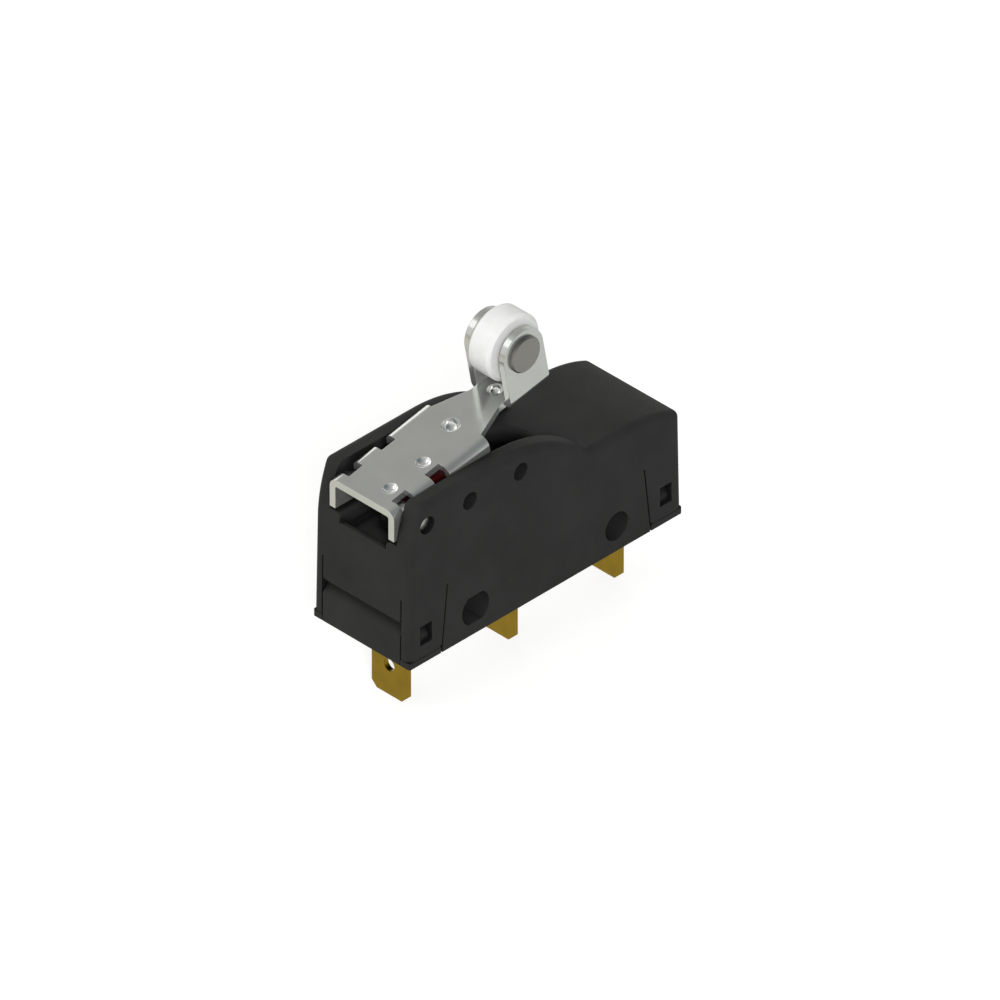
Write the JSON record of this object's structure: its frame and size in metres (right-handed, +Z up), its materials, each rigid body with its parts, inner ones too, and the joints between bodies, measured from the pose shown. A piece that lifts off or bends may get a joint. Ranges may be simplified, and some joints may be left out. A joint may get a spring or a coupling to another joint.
{
  "type": "roller lever micro switch",
  "caption": "Large snap-action micro switch in a black moulded casing, with a hinged stamped roller lever, dark red plunger and flat brass push-on tabs below.",
  "frame": {"origin": "middle of the round mounting hole, half way across the casing", "axes": "+X along the casing away from the lever's hinge, +Y across the casing along the mounting holes, +Z up from the tabs to the roller"},
  "size_m": [0.0492, 0.0174, 0.0492],
  "materials": {
    "casing_plastic": "black moulded plastic, satin",
    "lever_steel": "bright stamped stainless steel",
    "pin_steel": "ground steel",
    "axle_steel": "plain steel rivet",
    "roller_plastic": "white plastic, smooth",
    "plunger_plastic": "dark red plastic, smooth",
    "tab_brass": "rolled brass, slightly dull",
    "spring_copper": "copper alloy spring strip",
    "contact_silver": "silver contact face"
  },
  "bodies": {
    "casing": {"housing": "casing_plastic", "base": "casing_plastic", "hinge_pin": "pin_steel", "terminal_common": "tab_brass", "terminal_normally_closed": "tab_brass", "terminal_normally_open": "tab_brass", "actuating_leaf": "spring_copper", "leaf_clamp": "tab_brass", "leaf_rivet_front": "axle_steel", "leaf_rivet_back": "axle_steel", "pivot_bracket": "tab_brass", "bracket_rivet": "axle_steel", "bow_spring": "spring_copper", "fixed_contact_closed": "contact_silver", "fixed_contact_open": "contact_silver"},
    "lever": {"lever": "lever_steel", "roller_axle": "axle_steel"},
    "roller": {"roller": "roller_plastic"},
    "plunger": {"plunger": "plunger_plastic"},
    "contact_arm": {"contact_arm": "spring_copper", "moving_contact": "contact_silver"}
  },
  "joints": [
    {"name": "lever_hinge", "type": "hinge", "parent": "casing", "child": "lever", "pos_m": [-0.03386, 0, 0.017], "axis": [0, 1, 0], "range_deg": [0, 10], "stiffness_Nm_per_rad": 0.05, "springref_deg": -14.32},
    {"name": "roller_spin", "type": "hinge", "parent": "lever", "child": "roller", "pos_m": [-0.01172, 0, 0.0301], "axis": [0, 1, 0], "continuous": true},
    {"name": "plunger_travel", "type": "slide", "parent": "casing", "child": "plunger", "axis": [0, 0, -1], "range_m": [0, 0.00105], "deforming": ["actuating_leaf", "bow_spring"]},
    {"name": "contact_arm_swing", "type": "hinge", "parent": "casing", "child": "contact_arm", "pos_m": [-0.0303, 0, 0.0058], "axis": [0, 1, 0], "range_deg": [-1.3, 0], "stiffness_Nm_per_rad": 0.0004, "springref_deg": -14.32}
  ],
  "couplings": [
    {"joint": "plunger_travel", "follows": "lever_hinge", "m_per_rad": 0.00597},
    {"joint": "contact_arm_swing", "follows": "lever_hinge", "ratio": -0.126}
  ]
}
